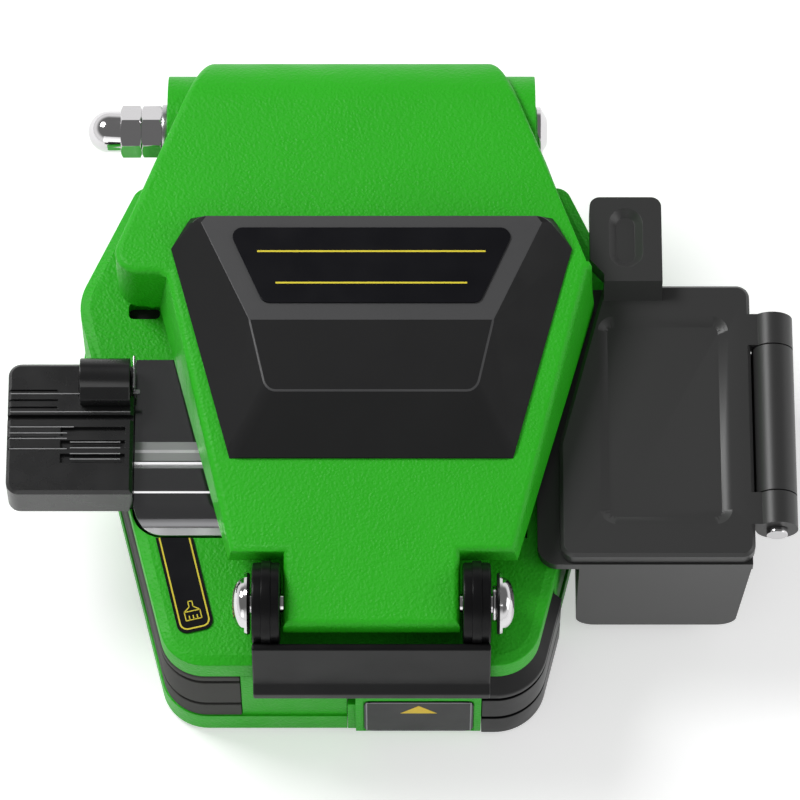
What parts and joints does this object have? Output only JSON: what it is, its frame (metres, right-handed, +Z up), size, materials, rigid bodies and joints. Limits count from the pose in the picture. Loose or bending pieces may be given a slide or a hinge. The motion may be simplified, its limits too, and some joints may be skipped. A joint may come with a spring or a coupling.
{
  "type": "fibre cleaver",
  "caption": "Bench-top optical fibre cleaver: latched hinged lid over clamp pads, a sliding wheel blade, a fibre holder and a hinged scrap bin.",
  "frame": {"origin": "underside of the foot mat, on the base's middle plane, 46 mm behind the base's front wall", "axes": "+X along the fibre from the holder to the scrap bin, +Y towards the lid's hinge, +Z up"},
  "size_m": [0.1195, 0.1002, 0.0466],
  "materials": {
    "green_plastic": "fine leathery grain",
    "black_plastic": "satin",
    "label_black": "smooth film",
    "band_rubber": "matt",
    "mat_rubber": "matt",
    "pad_rubber": "matt",
    "plate_metal": "satin",
    "dark_metal": "black anodised",
    "aluminium": "satin",
    "steel": "brushed",
    "blade_metal": "ground edge",
    "chrome": "polished"
  },
  "bodies": {
    "base": {"base_lower_shell": "green_plastic", "base_upper_shell": "green_plastic", "grip_band": "band_rubber", "bottom_plate": "plate_metal", "foot_mat": "mat_rubber", "plate_screws": "steel", "platform_left": "dark_metal", "platform_right": "dark_metal", "lower_pad_left": "pad_rubber", "lower_pad_right": "pad_rubber", "platform_screws": "steel", "slide_rail": "steel", "rail_screws": "steel", "fibre_holder": "dark_metal", "holder_dowels": "steel", "clamp_pin": "chrome", "side_label": "label_black", "hinge_axle": "chrome", "axle_washer": "steel", "jam_nut": "chrome", "acorn_nut": "chrome", "bin_body": "black_plastic", "bin_screws": "steel", "bin_hinge_pin": "chrome"},
    "holder_clamp": {"holder_clamp": "dark_metal"},
    "carriage": {"slider_block": "aluminium", "carriage_frame": "black_plastic", "push_cap": "green_plastic", "push_label": "label_black", "carriage_grip": "band_rubber", "blade_bracket": "steel", "bracket_screws": "steel", "blade_screw": "steel"},
    "blade": {"blade_wheel": "blade_metal"},
    "lid": {"lid_shell": "green_plastic", "lid_pad": "black_plastic", "lid_label": "label_black", "clamp_carrier": "black_plastic", "carrier_screws": "steel", "upper_clamp_left": "aluminium", "upper_clamp_right": "aluminium", "upper_pad_left": "pad_rubber", "upper_pad_right": "pad_rubber", "anvil_spring": "steel", "latch_shaft": "chrome", "latch_washers": "chrome", "latch_screws": "chrome"},
    "latch": {"latch_bail": "black_plastic"},
    "anvil": {"anvil": "steel"},
    "bin_lid": {"bin_lid": "black_plastic"}
  },
  "joints": [
    {"name": "lid_hinge", "type": "hinge", "parent": "base", "child": "lid", "pos_m": [0, 0.0408, 0.031], "axis": [-1, 0, 0], "range_deg": [0, 75]},
    {"name": "latch_swing", "type": "hinge", "parent": "lid", "child": "latch", "pos_m": [0.0032, -0.039, 0.0334], "axis": [-1, 0, 0], "range_deg": [0, 100]},
    {"name": "carriage_slide", "type": "slide", "parent": "base", "child": "carriage", "axis": [0, -1, 0], "range_m": [0, 0.02]},
    {"name": "blade_turn", "type": "hinge", "parent": "carriage", "child": "blade", "pos_m": [-0.0005, 0.002, 0.0212], "axis": [1, 0, 0], "continuous": true},
    {"name": "holder_clamp_hinge", "type": "hinge", "parent": "base", "child": "holder_clamp", "pos_m": [-0.0372, -0.002, 0.0336], "axis": [-1, 0, 0], "range_deg": [0, 70]},
    {"name": "anvil_slide", "type": "slide", "parent": "lid", "child": "anvil", "axis": [0, 0, 1], "range_m": [0, 0.0012], "stiffness_N_per_m": 400, "springref_m": -0.001, "deforming": ["anvil_spring"]},
    {"name": "bin_lid_hinge", "type": "hinge", "parent": "base", "child": "bin_lid", "pos_m": [0.0643, -0.008, 0.0287], "axis": [0, 1, 0], "range_deg": [0, 110]}
  ]
}
